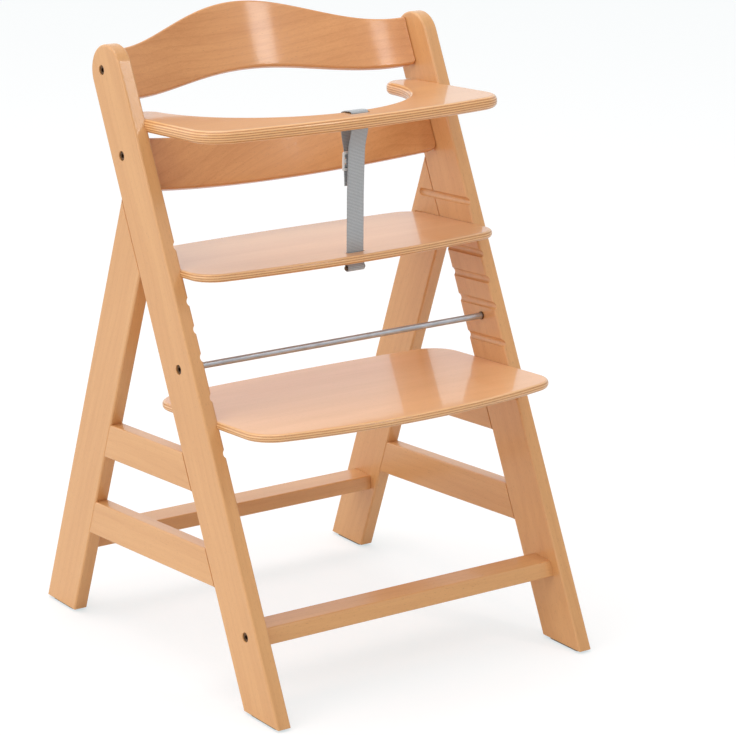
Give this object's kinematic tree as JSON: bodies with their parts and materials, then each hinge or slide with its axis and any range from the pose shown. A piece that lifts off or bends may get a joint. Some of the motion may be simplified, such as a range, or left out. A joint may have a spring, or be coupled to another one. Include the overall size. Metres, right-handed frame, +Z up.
{
  "type": "baby high chair",
  "caption": "Wooden high chair with two A-shaped side frames, bent back slats, grooved-in seat and foot plates, a U-shaped front guard and a crotch strap.",
  "frame": {"origin": "centre of the footprint, on the floor", "axes": "+Z up, -Y the way the chair faces, +X to the right seen from the front"},
  "size_m": [0.474, 0.556, 0.7851],
  "materials": {
    "beech": "clear satin lacquer",
    "beech_plywood": "clear gloss lacquer",
    "steel": "satin zinc",
    "dark_steel": "black oxide",
    "glide_plastic": "matt",
    "webbing": "woven",
    "white_plastic": "gloss"
  },
  "bodies": {
    "base": {"side_rail_left": "beech", "side_rail_right": "beech", "rear_leg_left": "beech", "rear_leg_right": "beech", "upper_stretcher_left": "beech", "upper_stretcher_right": "beech", "lower_stretcher_left": "beech", "lower_stretcher_right": "beech", "front_crossbar": "beech", "rear_crossbar": "beech", "upper_back_slat": "beech", "lower_back_slat": "beech", "tie_rod": "steel", "rod_caps": "dark_steel", "slat_bolts": "dark_steel", "front_bar_bolts": "dark_steel", "leg_dowels": "beech", "stretcher_dowels": "beech", "rear_bar_dowels": "beech", "front_glides": "glide_plastic", "rear_glides": "glide_plastic"},
    "seat": {"seat_plate": "beech_plywood", "strap_lower": "webbing", "strap_anchor": "dark_steel"},
    "foot_rest": {"foot_plate": "beech_plywood"},
    "guard": {"front_guard": "beech_plywood", "strap_upper": "webbing"},
    "slider": {"strap_slider": "white_plastic"}
  },
  "joints": [
    {"name": "seat_slide", "type": "slide", "parent": "base", "child": "seat", "axis": [0, -0.9983, 0.0576], "range_m": [0, 0.025]},
    {"name": "foot_rest_slide", "type": "slide", "parent": "base", "child": "foot_rest", "axis": [0, -0.9983, 0.0576], "range_m": [-0.025, 0.025]},
    {"name": "guard_slide", "type": "slide", "parent": "base", "child": "guard", "axis": [0, -0.9983, 0.0576], "range_m": [0, 0.02]},
    {"name": "slider_slide", "type": "slide", "parent": "guard", "child": "slider", "axis": [0, 0, 1], "range_m": [-0.015, 0]}
  ]
}
